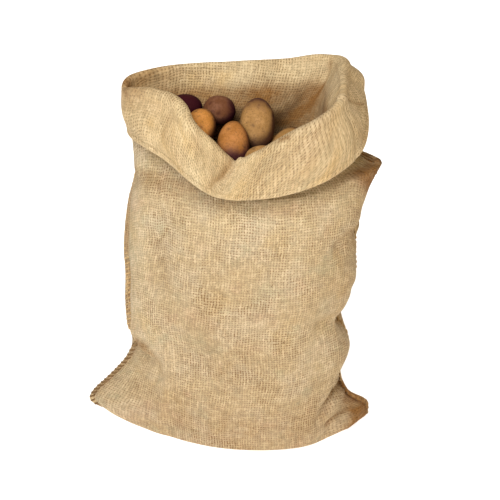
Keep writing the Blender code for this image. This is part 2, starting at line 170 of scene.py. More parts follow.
# finer folds, towards the side of the cloth that shows: way and level of both ends, width, push
wrinkles = [
    # fold that runs down from the bottom of the V, the right cuff's edge over the left cuff
    (0.576, 2.3, 0.546, 3.35, 0.009, -0.008),
    (0.546, 3.35, 0.51, 3.72, 0.008, -0.007),
    (0.602, 2.5, 0.583, 3.3, 0.007, 0.006),
    (0.583, 3.3, 0.556, 3.7, 0.006, 0.006),
    (0.556, 3.7, 0.49, 3.92, 0.006, 0.0045),
    (0.5, 2.9, 0.48, 3.6, 0.018, -0.002),
    # left arm: a puff, a valley from crest to edge, a second puff
    (0.09, 3.05, 0.15, 3.3, 0.034, 0.007),
    (0.265, 2.8, 0.3, 3.5, 0.026, -0.0022),
    (0.36, 2.9, 0.42, 3.4, 0.034, 0.006),
    (0.15, 3.55, 0.26, 3.7, 0.014, -0.0025),
    (0.16, 2.0, 0.205, 2.35, 0.007, -0.0035),
    # right cuff
    (0.755, 2.6, 0.785, 2.72, 0.006, -0.0035),
    (0.69, 3.0, 0.67, 3.6, 0.018, -0.0022),
    (0.83, 2.9, 0.85, 3.55, 0.02, -0.0024),
    (0.74, 3.55, 0.9, 3.62, 0.012, -0.002),
    (0.998, 2.5, 1.03, 3.1, 0.01, 0.004),
    (1.054, 3.1, 1.16, 3.58, 0.006, -0.0032),
    (1.18, 3.0, 1.23, 3.6, 0.016, -0.003),
    (1.225, 3.04, 1.3, 3.12, 0.02, 0.008),
    # inside the mouth: corner at the back right, slack of the back wall
    (1.345, 1.85, 1.365, 1.65, 0.02, -0.0015),
    (1.365, 1.65, 1.43, 1.25, 0.028, -0.004),
    (1.46, 1.78, 1.51, 1.35, 0.024, 0.004),
    (1.515, 1.75, 1.5, 1.45, 0.024, -0.005),
    (1.62, 1.75, 1.64, 1.4, 0.034, 0.005),
    (1.76, 1.78, 1.735, 1.5, 0.028, -0.0045),
    (1.82, 1.85, 1.8, 1.6, 0.014, 0.004),
    (1.45, 1.62, 1.8, 1.66, 0.016, -0.003),
    # body: creases under the cuff, at the left ear, the waist and the right ear
    (0.222, 0.83, 0.265, 0.69, 0.024, -0.0085),
    (0.06, 0.985, 0.26, 0.9, 0.016, -0.004),
    (0.13, 1.0, 0.33, 0.92, 0.014, 0.003),
    (0.22, 1.0, 0.4, 0.9, 0.014, -0.003),
    (0.47, 0.9, 0.478, 0.7, 0.012, 0.0024),
    (0.33, 0.78, 0.4, 0.64, 0.03, 0.0045),
    (0.56, 0.78, 0.57, 0.56, 0.036, -0.004),
    (0.68, 0.9, 0.7, 0.7, 0.034, 0.0045),
    (0.34, 0.5, 0.42, 0.38, 0.03, -0.004),
    (0.6, 0.46, 0.66, 0.3, 0.034, 0.0045),
    (0.48, 0.3, 0.44, 0.14, 0.03, 0.004),
    (0.4, 0.985, 0.6, 0.95, 0.02, -0.004),
    (0.99, 0.855, 0.921, 0.838, 0.009, -0.006),
    (0.921, 0.838, 0.784, 0.838, 0.01, -0.0038),
    (0.92, 0.88, 0.85, 0.9, 0.022, 0.0034),
    (0.9, 0.7, 0.8, 0.74, 0.022, 0.0022),
    (0.93, 0.62, 0.8, 0.65, 0.014, -0.0022),
    (0.802, 0.556, 0.756, 0.515, 0.02, -0.003),
    (0.1, 0.405, 0.205, 0.418, 0.009, -0.0055),
    (0.205, 0.418, 0.25, 0.38, 0.011, -0.004),
    (0.271, 0.4, 0.272, 0.27, 0.007, 0.004),
    (0.272, 0.27, 0.246, 0.03, 0.006, 0.004),
    (0.225, 0.3, 0.22, 0.06, 0.014, -0.0026),
    (0.12, 0.33, 0.18, 0.2, 0.02, -0.0024),
    (0.99, 0.17, 0.875, 0.195, 0.007, -0.008),
    (0.875, 0.195, 0.802, 0.176, 0.007, -0.006),
    (0.985, 0.148, 0.793, 0.118, 0.008, 0.0055),
    (0.948, 0.09, 0.829, 0.09, 0.007, -0.0075),
    (0.985, 0.088, 0.912, 0.02, 0.005, 0.005),
    (0.992, 0.062, 0.968, 0.026, 0.008, -0.003),
    (0.86, 0.33, 0.96, 0.35, 0.024, 0.003),
    (0.64, 0.06, 0.7, 0.02, 0.02, 0.0022),
    (0.42, 0.07, 0.36, 0.02, 0.02, -0.0022),
    (0.53, 0.03, 0.56, 0.09, 0.016, -0.0018),
    # back of the body
    (1.25, 0.88, 1.4, 0.7, 0.024, -0.004),
    (1.62, 0.76, 1.48, 0.6, 0.022, -0.0035),
    (1.33, 0.3, 1.48, 0.12, 0.02, 0.0035),
]

# how brown the cloth is, 0 to 1, in the same terms: painted shade in creases, under the cuff and in the
# mouth's corners, some soiling, darker towards the bottom, and negative rows that paint light on lit ridges
# and patches
paintedShadingAndSoil = [
    (0.56, 2.6, 0.53, 3.4, 0.012, 0.34),
    (0.53, 3.4, 0.49, 3.75, 0.009, 0.3),
    (0.64, 2.9, 0.62, 3.7, 0.026, -0.15),
    (0.93, 0.975, 1.0, 0.975, 0.028, 0.85),
    (0.33, 2.7, 0.42, 3.6, 0.04, -0.15),
    (0.45, 2.8, 0.47, 3.5, 0.024, -0.15),
    (0.76, 3.3, 0.86, 3.4, 0.045, 0.18),
    (1.4, 1.9, 1.85, 1.9, 0.022, -0.15),
    (1.36, 1.96, 1.85, 1.96, 0.022, -0.15),
    (0.12, 0.88, 0.13, 0.48, 0.08, -0.15),
    (0.04, 0.82, 0.06, 0.15, 0.024, -0.12),
    (0.4, 0.94, 0.78, 0.94, 0.05, -0.12),
    (0.42, 0.72, 0.62, 0.64, 0.05, 0.06),
    (0.4, 0.5, 0.55, 0.3, 0.09, 0.13),
    (0.3, 0.11, 0.75, 0.09, 0.09, 0.26),
    (0.275, 2.7, 0.3, 3.5, 0.012, 0.04),
    (0.16, 2.0, 0.205, 2.35, 0.007, 0.45),
    (0.755, 2.6, 0.785, 2.72, 0.005, 0.6),
    (1.054, 3.1, 1.16, 3.58, 0.004, 0.4),
    (1.328, 2.02, 1.305, 1.8, 0.01, 0.45),
    (1.305, 1.8, 1.33, 1.58, 0.012, 0.4),
    (1.33, 1.58, 1.4, 1.32, 0.016, 0.3),
    (1.42, 1.82, 1.46, 1.5, 0.03, -0.16),
    (1.25, 1.9, 1.18, 1.5, 0.045, -0.4),
    (1.515, 1.8, 1.5, 1.45, 0.03, 0.25),
    (1.86, 1.96, 1.96, 1.8, 0.036, 0.5),
    (1.96, 2.6, 1.99, 1.9, 0.022, 0.7),
    (0.06, 1.98, 0.01, 1.7, 0.04, 0.5),
    (0.02, 1.02, 0.4, 0.985, 0.022, 0.28),
    (0.4, 0.985, 0.7, 0.96, 0.014, 0.2),
    (0.7, 0.97, 1.0, 1.0, 0.014, 0.16),
    (0.9, 1.05, 1.0, 1.02, 0.024, 0.8),
    (0.975, 1.0, 1.03, 1.08, 0.015, 0.9),
    (0.226, 0.8, 0.262, 0.7, 0.022, 0.16),
    (0.99, 0.855, 0.921, 0.838, 0.008, 0.5),
    (0.921, 0.838, 0.784, 0.838, 0.01, 0.22),
    (0.985, 0.86, 0.985, 0.24, 0.07, 0.12),
    (0.25, 0.045, 0.9, 0.045, 0.09, 0.22),
    (0.105, 0.395, 0.18, 0.412, 0.012, 0.6),
    (0.12, 0.345, 0.2, 0.36, 0.02, 0.2),
    (0.11, 0.375, 0.21, 0.395, 0.012, 0.4),
    (0.01, 0.12, 0.16, 0.1, 0.06, 0.07),
    (0.99, 0.165, 0.802, 0.18, 0.006, 0.5),
    (0.948, 0.088, 0.829, 0.088, 0.007, 0.55),
    (0.99, 0.07, 0.945, 0.01, 0.027, 1.0),
    (0.985, 0.13, 0.96, 0.08, 0.022, 0.55),
    (1.01, 0.072, 1.06, 0.005, 0.03, 0.8),
    (1.008, 0.15, 1.02, 0.06, 0.018, 0.85),
    (0.965, 0.08, 0.935, 0.01, 0.019, 1.0),
    (0.99, 0.15, 0.96, 0.22, 0.03, 0.2),
    (0.1, 0.01, 0.9, 0.01, 0.02, 0.12),
]

# broad unevenness: size of a lump across and along the cloth, height, seed
unevenness = [
    (0.09, 0.12, 0.004, 3),
    (0.045, 0.06, 0.0012, 11),
    (0.018, 0.026, 0.0004, 23),
]


# 0 below low, 1 above high, and 3t^2 - 2t^3 of the share t between them
def smoothStep(low, high, value):
    t = np.clip((value - low) / (high - low), 0.0, 1.0)
    return t * t * (3.0 - 2.0 * t)


# 1 at no distance, falling as e to minus the square of the distance in widths
def bell(distance, width):
    return np.exp(-((distance / width) ** 2))


# vectors divided by their length, which counts as no shorter than the least
def unit(vectors, least=1e-9):
    return vectors / np.maximum(np.linalg.norm(vectors, axis=-1, keepdims=True), least)


# cubic from low to high with the slopes given at both ends
def hermite(low, high, lowSlope, highSlope, share):
    s2, s3 = share**2, share**3
    return ((2 * s3 - 3 * s2 + 1) * low + (s3 - 2 * s2 + share) * lowSlope
            + (3 * s2 - 2 * s3) * high + (s3 - s2) * highSlope)


# cubic through the rows of a table that closes on itself after two ways
def smoothLoop(ways, values, at):
    knots = np.concatenate([ways[-2:] - 2.0, ways, ways[:2] + 2.0])[:, None]
    points = np.concatenate([values[-2:], values, values[:2]])
    slopes = (points[2:] - points[:-2]) / (knots[2:] - knots[:-2])
    index = np.searchsorted(knots[:, 0], at, side="right") - 1
    span = knots[index + 1] - knots[index]
    share = (at[:, None] - knots[index]) / span
    return hermite(points[index], points[index + 1], slopes[index - 1] * span,
                   slopes[index] * span, share)


# cubic through the rows of a table, open at both ends
def smoothColumn(heights, values, at):
    slopes = np.gradient(values, heights)
    index = np.clip(np.searchsorted(heights, at, side="right") - 1, 0, len(heights) - 2)
    span = heights[index + 1] - heights[index]
    share = (at - heights[index]) / span
    return hermite(values[index], values[index + 1], slopes[index] * span,
                   slopes[index + 1] * span, share)


# squares between rings of points numbered from the first on, with each point's number and the one
# after it in its ring
def ringFaces(first, rings, sides):
    index = first + np.arange(rings * sides).reshape(rings, sides)
    after = np.roll(index, -1, axis=1)
    quads = np.stack([index[:-1], after[:-1], after[1:], index[1:]], axis=-1).reshape(-1, 4)
    return index, after, quads


# smooth mesh with its float attributes, one value for each point
def newMesh(name, points, faces, **attributes):
    mesh = bpy.data.meshes.new(name)
    mesh.from_pydata(points.tolist(), [], faces)
    for key, values in attributes.items():
        layer = mesh.attributes.new(key, "FLOAT", "POINT")
        layer.data.foreach_set("value", np.asarray(values, np.float32))
    mesh.polygons.foreach_set("use_smooth", np.ones(len(mesh.polygons), bool))
    mesh.update()
    return mesh


# object linked into the scene
def newObject(name, data):
    made = bpy.data.objects.new(name, data)
    bpy.context.scene.collection.objects.link(made)
    return made


# object that rides on the part's only body, with its material and slot
def newPiece(name, mesh, material):
    piece = newObject(name, mesh)
    mesh.materials.append(material)
    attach(piece, "root")
    return piece


# columns of the front panel, closer together round the fold in its middle, then those across the
# right seam, the back panel and the left seam
def columnWays():
    even = np.linspace(0.0, 1.0, 400)
    near = bell(even - sack["closeAt"], sack["closeSpread"])
    filled = np.concatenate([[0.0], np.cumsum(1.0 + sack["closeness"] * near[1:])])
    share = np.interp(np.linspace(0.0, filled[-1], sack["columns"]), filled, even)
    front = sack["seamWay"] + (1.0 - 2.0 * sack["seamWay"]) * share
    back = np.linspace(1.0 + sack["seamWay"], 2.0 - sack["seamWay"], sack["backColumns"])
    steps = sack["finSteps"]
    across = sack["seamWay"] * np.arange(1 - steps, steps) / steps
    return np.concatenate([front, 1.0 + across, back, (2.0 + across) % 2.0])


# way from the nearer seam's middle
def fromSeam(ways):
    return np.minimum(np.abs(ways - 1.0), np.minimum(ways, 2.0 - ways))


# turn from the left seam, 0, to the right seam, pi, on either panel
def seamTurn(ways):
    folded = np.where(ways <= 1.0, ways, 2.0 - ways)
    turn = np.pi * (folded - sack["seamWay"]) / (1.0 - 2.0 * sack["seamWay"])
    return np.clip(turn, 0.0, np.pi)


# share of the width from the left seam, 0, to the right, 1: half of one less the turn's cosine
def acrossPanels(ways):
    return (1.0 - np.cos(seamTurn(ways))) / 2.0


# 1 at a seam and 0 from the spread on: what is left of the turn, to the ears' power
def nearSeam(turn, spread):
    return np.maximum(0.0, 1.0 - turn / spread) ** sack["earCurve"]


# one ring of the body: each panel bulges as a power of the turn's sine between the side seams,
# the ears run out along the seams, and a flat lip of both layers stands out of each seam
def bodyRing(height, ways):
    left, right, front, back, leftEar, rightEar, swing, lift = (
        smoothColumn(sections[:, 0], sections[:, k], height) for k in range(1, 9))
    fin = np.clip(1.0 - fromSeam(ways) / sack["seamWay"], 0.0, 1.0)
    side = np.where(ways < 1.0, -1.0, 1.0) * np.sqrt(1.0 - fin**2)
    turn = seamTurn(ways)
    across = acrossPanels(ways)
    depth = np.where(ways < 1.0, front, back)
    depth = depth * (1.0 - sack["leftLeanness"] * (1.0 - across) ** sack["leannessCurve"])
    opening = (height / sections[-1, 0]) ** sack["openingCurve"]
    lip = sack["seamLip"] * (1.0 - opening)
    x = -left + (left + right) * across
    x = x - leftEar * nearSeam(turn, sack["leftEarSpread"])
    x = x + rightEar * nearSeam(np.pi - turn, sack["rightEarSpread"])
    edge = sack["seamEdge"] + 2.0 * sack["shoulderEdge"] * opening
    y = side * (edge / 2.0 + depth * np.abs(np.sin(turn)) ** sack["squareness"])
    reach = lip * np.sqrt(fin)
    lean = math.radians(sack["rightFinTurn"])
    onRight = across > 0.5
    x = x + reach * np.where(onRight, math.cos(lean), -1.0)
    y = y + reach * np.where(onRight, math.sin(lean), 0.0)
    y = y + swing * across ** sack["turnCurve"]
    z = height + lift * across ** sack["liftCurve"]
    return np.stack([x, y, z], axis=1)


# level unit direction out of a ring: its tangent turned a quarter
def outward(ring):
    along = np.roll(ring, -1, axis=0) - np.roll(ring, 1, axis=0)
    return unit(np.stack([along[:, 1], -along[:, 0], np.zeros(len(ring))], axis=1))


# push of every fold at each point: a bell across the distance to the fold's line
def foldPush(table, across, up):
    push = np.zeros_like(across)
    for acrossA, upA, acrossB, upB, width, height in table:
        runX, runY = acrossB - acrossA, upB - upA
        share = ((across - acrossA) * runX + (up - upA) * runY) / (runX**2 + runY**2)
        share = np.clip(share, 0.0, 1.0)
        push += height * bell(np.hypot(across - acrossA - share * runX, up - upA - share * runY), width)
    return push


# the same bells for lines that join end to end: only the strongest each way counts at a point
def strongestPush(table, across, up):
    rise, sink = np.zeros(across.shape), np.zeros(across.shape)
    for row in table:
        push = foldPush([row], across, up)
        rise, sink = np.maximum(rise, push), np.minimum(sink, push)
    return rise + sink


# rings of the body, whose heights grow a little further apart, each pushed out by the folds
def bodyRows(ways):
    share = np.linspace(0.0, 1.0, sack["bodyRows"])
    growth = sack["rowGrowth"]
    table = folds * [sack["panelWidth"], 1.0, sack["panelWidth"], 1.0, 1.0, 1.0]
    rows = []
    for height in sections[-1, 0] * ((1.0 - growth) * share + growth * share**2):
        ring = bodyRing(height, ways)
        push = foldPush(table, ways * sack["panelWidth"], np.full_like(ways, height))
        rows.append(ring + push[:, None] * outward(ring))
    return rows


# above the body: a cubic wall up to the roll, half a circle over it, and a cubic cuff down to
# the edge that billows by the puff
def mouthRows(body, ways):
    values = smoothLoop(stations[:, 0], stations[:, 1:], ways % 2.0)
    crest, roll = values[:, 0:3], values[:, 3:4]
    hem, puff, bow = values[:, 4:7], values[:, 7:8], values[:, 8:9]
    out = outward(crest)
    up = np.array([0.0, 0.0, 1.0])
    inner = crest - roll * out - roll * up
    outer = crest + roll * out - roll * up
    rise = np.linalg.norm(inner - body[-1], axis=1, keepdims=True)
    lost = sack["wallLeanLost"] * acrossPanels(ways)[:, None] ** sack["wallLeanCurve"]
    lean = unit(body[-1] - body[-1 - sack["leanRows"]]) * (sack["wallLean"] - lost)
    rows = []
    for share in np.linspace(0.0, 1.0, sack["wallRows"] + 1)[1:]:
        row = hermite(body[-1], inner, rise * lean, sack["wallUpright"] * rise * up, share)
        rows.append(row - bow * np.sin(np.pi * share) * out)
    for turn in np.linspace(np.pi, 0.0, sack["rollRows"] + 1)[1:]:
        rows.append(crest - roll * up + roll * (np.cos(turn) * out + np.sin(turn) * up))
    drop = np.linalg.norm(hem - outer, axis=1, keepdims=True)
    hemShare = np.clip(sack["hemWidth"] * sack["hemRoom"] / drop, 0.0, 0.5)
    shares = [(1.0 - hemShare) * k / sack["cuffRows"] for k in range(1, sack["cuffRows"] + 1)]
    shares += [1.0 - hemShare * (1.0 - k / sack["hemRows"]) for k in range(1, sack["hemRows"] + 1)]
    for share in shares:
        row = hermite(outer, hem, -sack["cuffHang"] * drop * up,
                      sack["cuffReach"] * (hem - outer), share)
        rows.append(row + puff * np.sin(np.pi * share) ** 2 * out)
    return rows


# smooth random lumps on a grid of the given sizes, closed round the sack: random values at the
# corners of the cells, blended by a smooth step
def lumps(across, up, girth, sizeAcross, sizeUp, seed):
    cells = max(3, int(round(girth / sizeAcross)))
    levels = int(np.ceil(up.max() / sizeUp)) + 2
    table = np.random.default_rng(seed).uniform(-1.0, 1.0, (levels, cells))
    u = across / girth * cells
    v = np.clip(up / sizeUp, 0.0, levels - 1.001)
    i, j = np.floor(v).astype(int), np.floor(u).astype(int)
    s, t = smoothStep(0.0, 1.0, v - i), smoothStep(0.0, 1.0, u - j)
    low, high = (table[k, j % cells] * (1 - t) + table[k, (j + 1) % cells] * t for k in (i, i + 1))
    return low * (1 - s) + high * s


# unit normals of a grid that closes round: cross product of its two directions
def gridNormals(grid):
    around = np.roll(grid, -1, axis=1) - np.roll(grid, 1, axis=1)
    return unit(np.cross(around, np.gradient(grid, axis=0)))


# strongest push of a table whose ways and levels are turned into metres round the girth and up
# the cloth
def pushOnCloth(table, ways, around, level, length):
    order = np.argsort(ways)
    rows = []
    for wayA, levelA, wayB, levelB, width, amount in table:
        ends = []
        for way, height in ((wayA, levelA), (wayB, levelB)):
            way = min(max(way, sack["seamWay"]), 2.0 - sack["seamWay"])
            column = np.argmin(np.abs(ways - way))
            ends += [np.interp(way, ways[order], around[:-1][order]),
                     np.interp(height, level, length[:, column])]
        rows.append((*ends, width, amount))
    return strongestPush(rows, np.broadcast_to(around[:-1], length.shape), length)


# the whole sheet, then its finer shape along the normals: wrinkles, unevenness, the hem's band
# and groove, and the seams' grooves over the wall and cuff; and how brown it is on both sides
def sackGrid():
    ways = columnWays()
    body = bodyRows(ways)
    grid = np.array(body + mouthRows(body, ways))
    steps = np.linalg.norm(np.diff(grid, axis=0), axis=2)
    length = np.vstack([np.zeros(len(ways)), np.cumsum(steps, axis=0)])
    fromHem = length[-1] - length
    middleRing = grid[sack["bodyRows"] // 2]
    girthSteps = np.linalg.norm(np.roll(middleRing, -1, axis=0) - middleRing, axis=1)
    around = np.concatenate([[0.0], np.cumsum(girthSteps)])
    across = np.broadcast_to(around[:-1], length.shape)
    cuffRows = sack["cuffRows"] + sack["hemRows"]
    counts = enumerate((sack["bodyRows"] - 1, sack["wallRows"], sack["rollRows"], cuffRows))
    level = np.concatenate([[0.0], *(k + np.linspace(0.0, 1.0, n + 1)[1:] for k, n in counts)])
    push = np.zeros(length.shape)
    for sizeAcross, sizeUp, height, seed in unevenness:
        push += height * lumps(across, length, around[-1], sizeAcross, sizeUp, seed)
    push += pushOnCloth(wrinkles, ways, around, level, length)
    settled = smoothStep(0.0, sack["settleUp"], length) * smoothStep(0.0, sack["settleDown"], fromHem)
    push = push * settled * (1.0 - 0.5 * smoothStep(*sack["calmFrom"], level))[:, None]
    hem = sack["hemWidth"]
    push += sack["hemRise"] * (1.0 - smoothStep(hem - sack["hemEdge"], hem, fromHem))
    depth, past, width = sack["hemGroove"]
    push -= depth * bell(fromHem - hem - past, width)
    seamAway = np.broadcast_to(fromSeam(ways), length.shape) * sack["panelWidth"]
    depth, width = sack["seamGroove"]
    push -= depth * smoothStep(*sack["seamGrooveFrom"], level)[:, None] * bell(seamAway, width)
    over = smoothStep(*sack["turnOver"], level)
    grid = grid + ((1.0 - 2.0 * over[:, None]) * push)[:, :, None] * gridNormals(grid)
    # painted shade and light with some soil: the table's brown over the cloth
    soil = pushOnCloth(paintedShadingAndSoil, ways, around, level, length) + sack["everywhere"]
    # painted shade inside the mouth, fading towards the crest
    inside = over * (1.0 - smoothStep(*sack["insideFade"], level))
    insideShadingAndSoil = np.clip(soil + sack["insideShadingAndSoil"] * inside[:, None], 0.0, 1.0)
    # painted shade and soil on the seams' lips, painted shade in the creases at their roots
    onRight = np.abs(ways - 1.0) < 0.5
    line, width = sack["rootLine"]
    lip = np.where(onRight, sack["lipShadeAndSoil"][1], sack["lipShadeAndSoil"][0])
    lip = lip * (seamAway < sack["seamWay"] * sack["panelWidth"])
    lip = lip + sack["rootShade"] * bell(seamAway - line, width)
    lipEnd = np.where(onRight, sack["lipShadeAndSoilTo"][1], sack["lipShadeAndSoilTo"][0])
    lip = lip * (1.0 - smoothStep(lipEnd, lipEnd + sack["lipShadeAndSoilFade"], level[:, None]))
    outsideShadingAndSoil = soil * (1.0 - smoothStep(*sack["outsideFade"], level))[:, None] + lip
    return grid, ways, around, length, fromHem, np.clip(outsideShadingAndSoil, 0.0, 1.0), insideShadingAndSoil


# faces, points and map of the sheet: rings of the body over rings that shrink to the middle of
# the underside, with u round the girth and v up the cloth
def sackMesh():
    grid, ways, around, length, fromHem, outsideShadingAndSoil, insideShadingAndSoil = sackGrid()
    columns = len(ways)
    middle = grid[0].mean(axis=0)
    shares = np.linspace(0.0, 1.0, sack["baseRows"] + 1)[1:-1]
    # the bearings of the underside's points only ever grow, so that no face of it turns over
    flat = grid[0] - middle
    spare = sack["leastTurn"] * np.arange(columns)
    bearing = np.unwrap(np.arctan2(flat[:, 1], flat[:, 0])) - spare
    bearing = np.minimum(np.maximum.accumulate(bearing), bearing[0] + 2.0 * np.pi - spare[-1]) + spare
    reach = np.linalg.norm(flat, axis=1)
    outline = np.stack([reach * np.cos(bearing), reach * np.sin(bearing), flat[:, 2]], axis=1)
    base = middle + shares[:, None, None] * outline
    baseLength = (shares - 1.0)[:, None] * reach
    rings = np.concatenate([base, grid])
    points = np.vstack([middle[None], rings.reshape(-1, 3)])
    up = np.concatenate([baseLength, length])
    index, after, quads = ringFaces(1, *up.shape)
    fan = np.stack([np.zeros(columns, int), after[0], index[0]], axis=-1)
    below = np.zeros(1 + baseLength.size)    # free of painted shading and soil, and away from the hem
    mesh = newMesh("sackCloth", points, quads.tolist() + fan.tolist(),
                   fromHem=np.concatenate([below + 1.0, fromHem.ravel()]),
                   soilOutside=np.concatenate([below, outsideShadingAndSoil.ravel()]),
                   soilInside=np.concatenate([below, insideShadingAndSoil.ravel()]))
    u0, u1 = (np.broadcast_to(side, up.shape) for side in (around[:-1], around[1:]))
    upNext = np.roll(up, -1, axis=1)
    corners = ((u0[:-1], up[:-1]), (u1[:-1], upNext[:-1]), (u1[1:], upNext[1:]), (u0[1:], up[1:]))
    quadMap = np.stack([np.stack(corner, -1) for corner in corners], axis=2).reshape(-1, 2)
    low = np.full(columns, up[0].min() - 0.01)
    corners = ((u0[0], low), (u1[0], upNext[0]), (u0[0], up[0]))
    fanMap = np.stack([np.stack(corner, -1) for corner in corners], axis=1).reshape(-1, 2)
    threads = mesh.uv_layers.new(name="threads")
    threads.data.foreach_set("uv", np.vstack([quadMap, fanMap]).ravel())
    return mesh, grid, ways


# adds shader nodes to one tree; each call but feed gives back the output of its new node
class Adder:
    def __init__(self, tree):
        self.tree = tree

    # an input takes the output of another node, or a value of its own
    def feed(self, socket, value):
        if isinstance(value, bpy.types.NodeSocket):
            self.tree.links.new(value, socket)
        elif socket.type == "RGBA":
            socket.default_value = (*value, 1.0)
        else:
            socket.default_value = value

    # new node of a kind: its settings, then its inputs by number or name
    def node(self, kind, inputs=(), output=0, **settings):
        node = self.tree.nodes.new("ShaderNode" + kind)
        for name, value in settings.items():
            setattr(node, name, value)
        for key, value in inputs:
            self.feed(node.inputs[key], value)
        return node.outputs[output]

    def maths(self, operation, a, b=0.0, c=0.0, clamp=False):
        return self.node("Math", enumerate((a, b, c)), operation=operation, use_clamp=clamp)

    def times(self, a, b):
        return self.maths("MULTIPLY", a, b)

    def plus(self, a, b):
        return self.maths("ADD", a, b)

    # base plus the value times an amount
    def onto(self, base, value, amount):
        return self.maths("MULTIPLY_ADD", value, amount, base)

    # low to high turned into newLow to newHigh, by a smooth step or a straight line
    def ramp(self, value, low, high, newLow=0.0, newHigh=1.0, smooth=True):
        names = ("Value", "From Min", "From Max", "To Min", "To Max")
        return self.node("MapRange", zip(names, (value, low, high, newLow, newHigh)),
                         interpolation_type="SMOOTHSTEP" if smooth else "LINEAR")

    # inputs 6 and 7 and output 2 are the mix node's colours
    def mix(self, share, a, b, blend="MIX"):
        return self.node("Mix", ((0, share), (6, a), (7, b)), 2, data_type="RGBA", blend_type=blend)

    def vector(self, x, y, z=0.0):
        return self.node("CombineXYZ", enumerate((x, y, z)))

    def noise(self, place, scale, detail=2.0, roughness=0.5, distortion=0.0):
        names = ("Vector", "Scale", "Detail", "Roughness", "Distortion")
        return self.node("TexNoise", zip(names, (place, scale, detail, roughness, distortion)))

    def white(self, x, y, z=0.0):
        return self.node("TexWhiteNoise", [("Vector", self.vector(x, y, z))], "Value", noise_dimensions="3D")

    def attribute(self, name):
        return self.node("Attribute", output="Fac", attribute_name=name)

    def bump(self, height, strength, distance):
        names = ("Strength", "Distance", "Height")
        return self.node("Bump", zip(names, (strength, distance, height)), "Normal")


# material, the adder for its nodes and its shader
def newMaterial(name, roughness, specular):
    material = bpy.data.materials.new(name)
    material.use_nodes = True
    shader = material.node_tree.nodes["Principled BSDF"]
    add = Adder(material.node_tree)
    add.feed(shader.inputs["Roughness"], roughness)
    add.feed(shader.inputs["Specular IOR Level"], specular)
    return material, add, shader


hessian = {
    "warpPitch": 0.0054,      # between threads up the sack
    "weftPitch": 0.0052,      # and round it
    "gap": (0.270, 0.165, 0.075),
    "bright": (0.770, 0.690, 0.480),   # fibres that catch the light
    "green": (0.520, 0.470, 0.300),
    "rosy": (0.640, 0.450, 0.285),
    "fleck": (0.160, 0.090, 0.040),
    "soil": (0.425, 0.268, 0.142),     # multiplies the cloth's colour where the painted shading and soil are strongest
    "roughness": 0.92,
    "specular": 0.12,
    "sheen": 0.03,
    "sheenRoughness": 0.6,
    "sheenTint": (1.0, 0.93, 0.80),
    "warpWander": ((0.0, 16.0, 0.010), (0.0, 85.0, 0.0042)),    # field, scale and reach of each wave
    "weftWander": ((5.0, 14.0, 0.014), (5.0, 80.0, 0.0048)),
    "bob": 0.24,              # height that a thread gains over the other and loses under it
    "warpBody": (0.42, 1.0),  # height of a thread where it is thin and where it is thick
    "weftBody": (0.34, 0.90),
    "bump": 0.65,
    "bumpDepth": 0.0014,
}

# the two sides of the cloth: three tones, share of the gaps' darkness, attribute of the painted shading and
# soil
outsideLook = {
    "straw": (0.605, 0.468, 0.278),
    "pale": (0.665, 0.552, 0.385),
    "warm": (0.620, 0.452, 0.232),
    "hueShare": 0.45,
    "gapShare": 0.92,
    "soil": "soilOutside",
}
# the inside's paler tones are partly painted light, since the turned-over cuff shows this side
insideLook = {
    "straw": (0.725, 0.555, 0.315),
    "pale": (0.770, 0.620, 0.385),
    "warm": (0.735, 0.515, 0.240),
    "hueShare": 0.20,
    "gapShare": 0.62,
    "soil": "soilInside",
}


